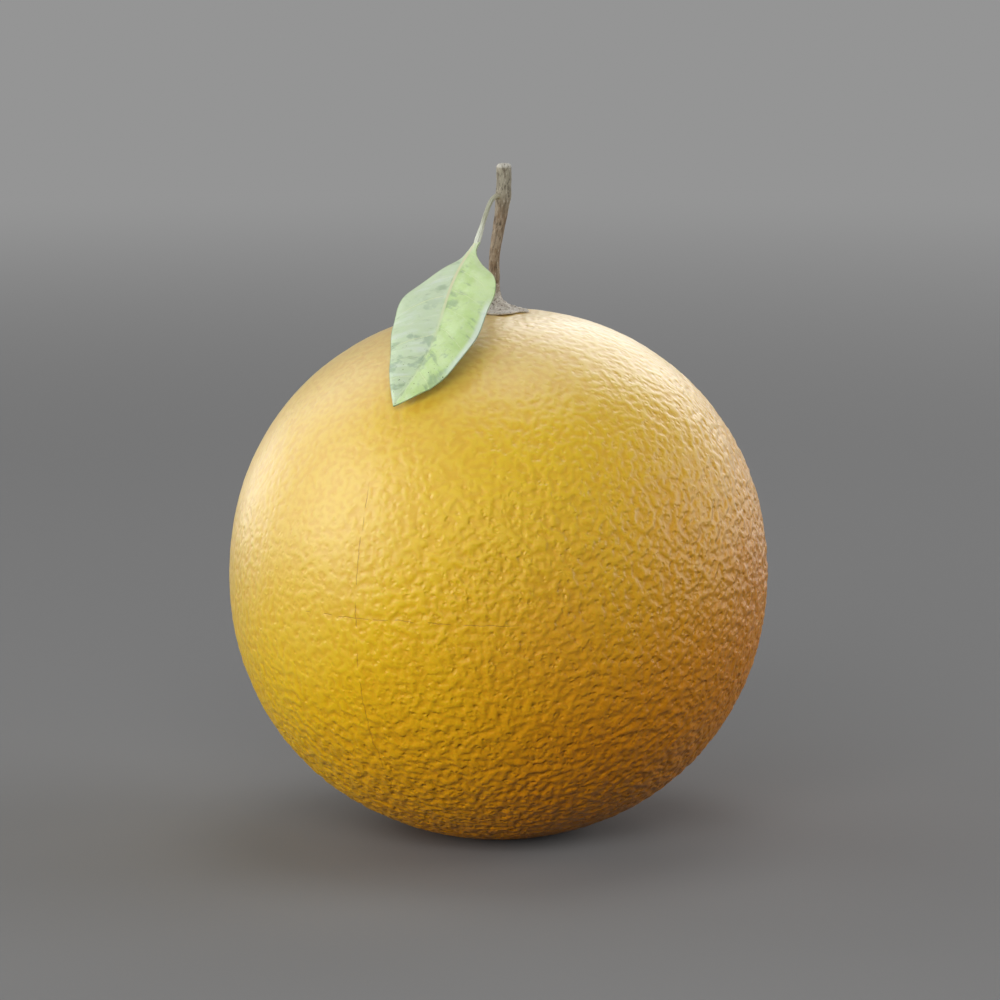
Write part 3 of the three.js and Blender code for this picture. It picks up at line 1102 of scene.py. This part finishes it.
def marked_colour(tree, blade, colour, line):
    """The pale side veins, midrib and neck, painted sheen and painted shade at the margins, dark
    specks near the tip, and the back.
    """
    across, travel, face = blade.parts()
    colour = mix_colour(tree, line * 0.75, colour, VEIN_PALE)
    rib = across.math("ABSOLUTE").ramp(MIDRIB_WIDTH, 0.4 * MIDRIB_WIDTH)
    colour = mix_colour(tree, rib * travel.ramp(9, 20, 0.9, 0.12), colour, MIDRIB_PALE)
    colour = mix_colour(tree, travel.ramp(3.2, 0.4) * 0.6, colour, NECK_PALE)
    margin = painted(tree, "margin")
    # Painted sheen: a pale strip along the right margin where it curls.
    stretch = travel.ramp(12, 16) * travel.ramp(28, 24)
    painted_edge_sheen = margin.ramp(1.1, 0.35) * across.ramp(1, 2.5) * stretch
    colour = mix_colour(tree, painted_edge_sheen * 0.75, colour, MARGIN_SHEEN_PAINT)
    # Painted shade: a dark line along the margins, for the edge in shadow.
    colour = mix_colour(tree, margin.ramp(0.16, 0.02) * 0.7, colour, MARGIN_SHADE_PAINT)
    specks = noise_field(tree, blade, 0.35, detail=1).ramp(0.7, 0.76) * travel.ramp(17, 27)
    colour = mix_colour(tree, specks, colour, SPECK_DARK)
    return mix_colour(tree, face.ramp(0.2, -0.2) * 0.55, colour, LEAF_SOFT)


def blade_material():
    """A waxy leaf. Its patterns lie on the blade's own millimetres: across, along and face."""
    material, tree, output = new_material("Leaf")
    blade = painted(tree, "blade", "Vector")
    patches = noise_field(tree, blade, 3.4, detail=3, roughness=0.55)
    mottle = noise_field(tree, blade, 0.9, detail=3, roughness=0.6)
    line = painted(tree, "vein_gap").ramp(0.1, 0.02) * painted(tree, "vein_strength")
    cells = noise_field(tree, blade, 0.22, detail=2)
    relief = cells * (0.02 * MM) + mottle * (0.05 * MM) + line * (0.03 * MM)
    tissue = tissue_colour(tree, blade, patches, mottle)
    sockets = {
        "Base Color": marked_colour(tree, blade, tissue, line),
        "Roughness": patches.ramp(0.3, 0.7, 0.3, 0.42),
        "Normal": add_bump(tree, relief),
        "Subsurface Weight": 0.2,
        "Subsurface Radius": (0.6, 1.0, 0.3),
        "Subsurface Scale": 0.5 * MM,
    }
    add_principled(tree, output, sockets)
    return material


def mark_points(piece, name, values, ends):
    """Stores a number on each point of a skin: those of its rings, then its two end points."""
    layer = piece.data.attributes.new(name, "FLOAT", "POINT")
    layer.data.foreach_set("value", np.append(values, ends))


def make_blade():
    length = np.array(BLADE_TIP - BLADE_BASE)
    tangent = unit(length)
    across = np.array(BLADE_ACROSS)
    across = unit(across - (across @ tangent) * tangent)
    axes = (length, across, np.cross(tangent, across))

    along = np.linspace(0, 1, BLADE_ROWS)
    centre = midrib(along, axes)
    tangent = unit(midrib(along + 0.001, axes) - midrib(along - 0.001, axes))
    across = unit(axes[1] - (tangent @ axes[1])[:, None] * tangent)
    face = np.cross(tangent, across)

    # A ring round the blade for each row: its upper face from right to left, then its back.
    spread = np.sin(np.linspace(np.pi / 2, -np.pi / 2, BLADE_COLUMNS)) * 0.35
    spread += np.linspace(1, -1, BLADE_COLUMNS) * 0.65
    side = np.concatenate([spread, spread[::-1]])[None, :]
    over = np.concatenate([np.ones(BLADE_COLUMNS), -np.ones(BLADE_COLUMNS)])[None, :]
    width = np.where(side > 0, half_width(along, 1)[:, None], half_width(along, -1)[:, None])
    out = side * width
    travel = np.repeat(along[:, None] * np.linalg.norm(length), side.size, axis=1)

    gap, strength = vein_pattern(out, travel)
    height = skin_height(along[:, None], side, over, width, travel, gap, strength)
    rings = centre[:, None] + across[:, None] * out[..., None] + face[:, None] * height[..., None]
    piece = skin("Blade", rings, blade_material())

    ends = np.array([[0, 0, 1.0], [0, np.linalg.norm(length), 1.0]])
    spots = np.stack([out, travel, np.broadcast_to(over, out.shape)], axis=-1).reshape(-1, 3)
    layer = piece.data.attributes.new("blade", "FLOAT_VECTOR", "POINT")
    layer.data.foreach_set("vector", np.vstack([spots, ends]).ravel())
    mark_points(piece, "margin", width * (1 - abs(side)), [0, 0])
    mark_points(piece, "vein_gap", gap, [1, 1])
    mark_points(piece, "vein_strength", strength, [0, 0])
    return piece


blade = make_blade()
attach(blade, "root")
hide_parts("leaf_blade")
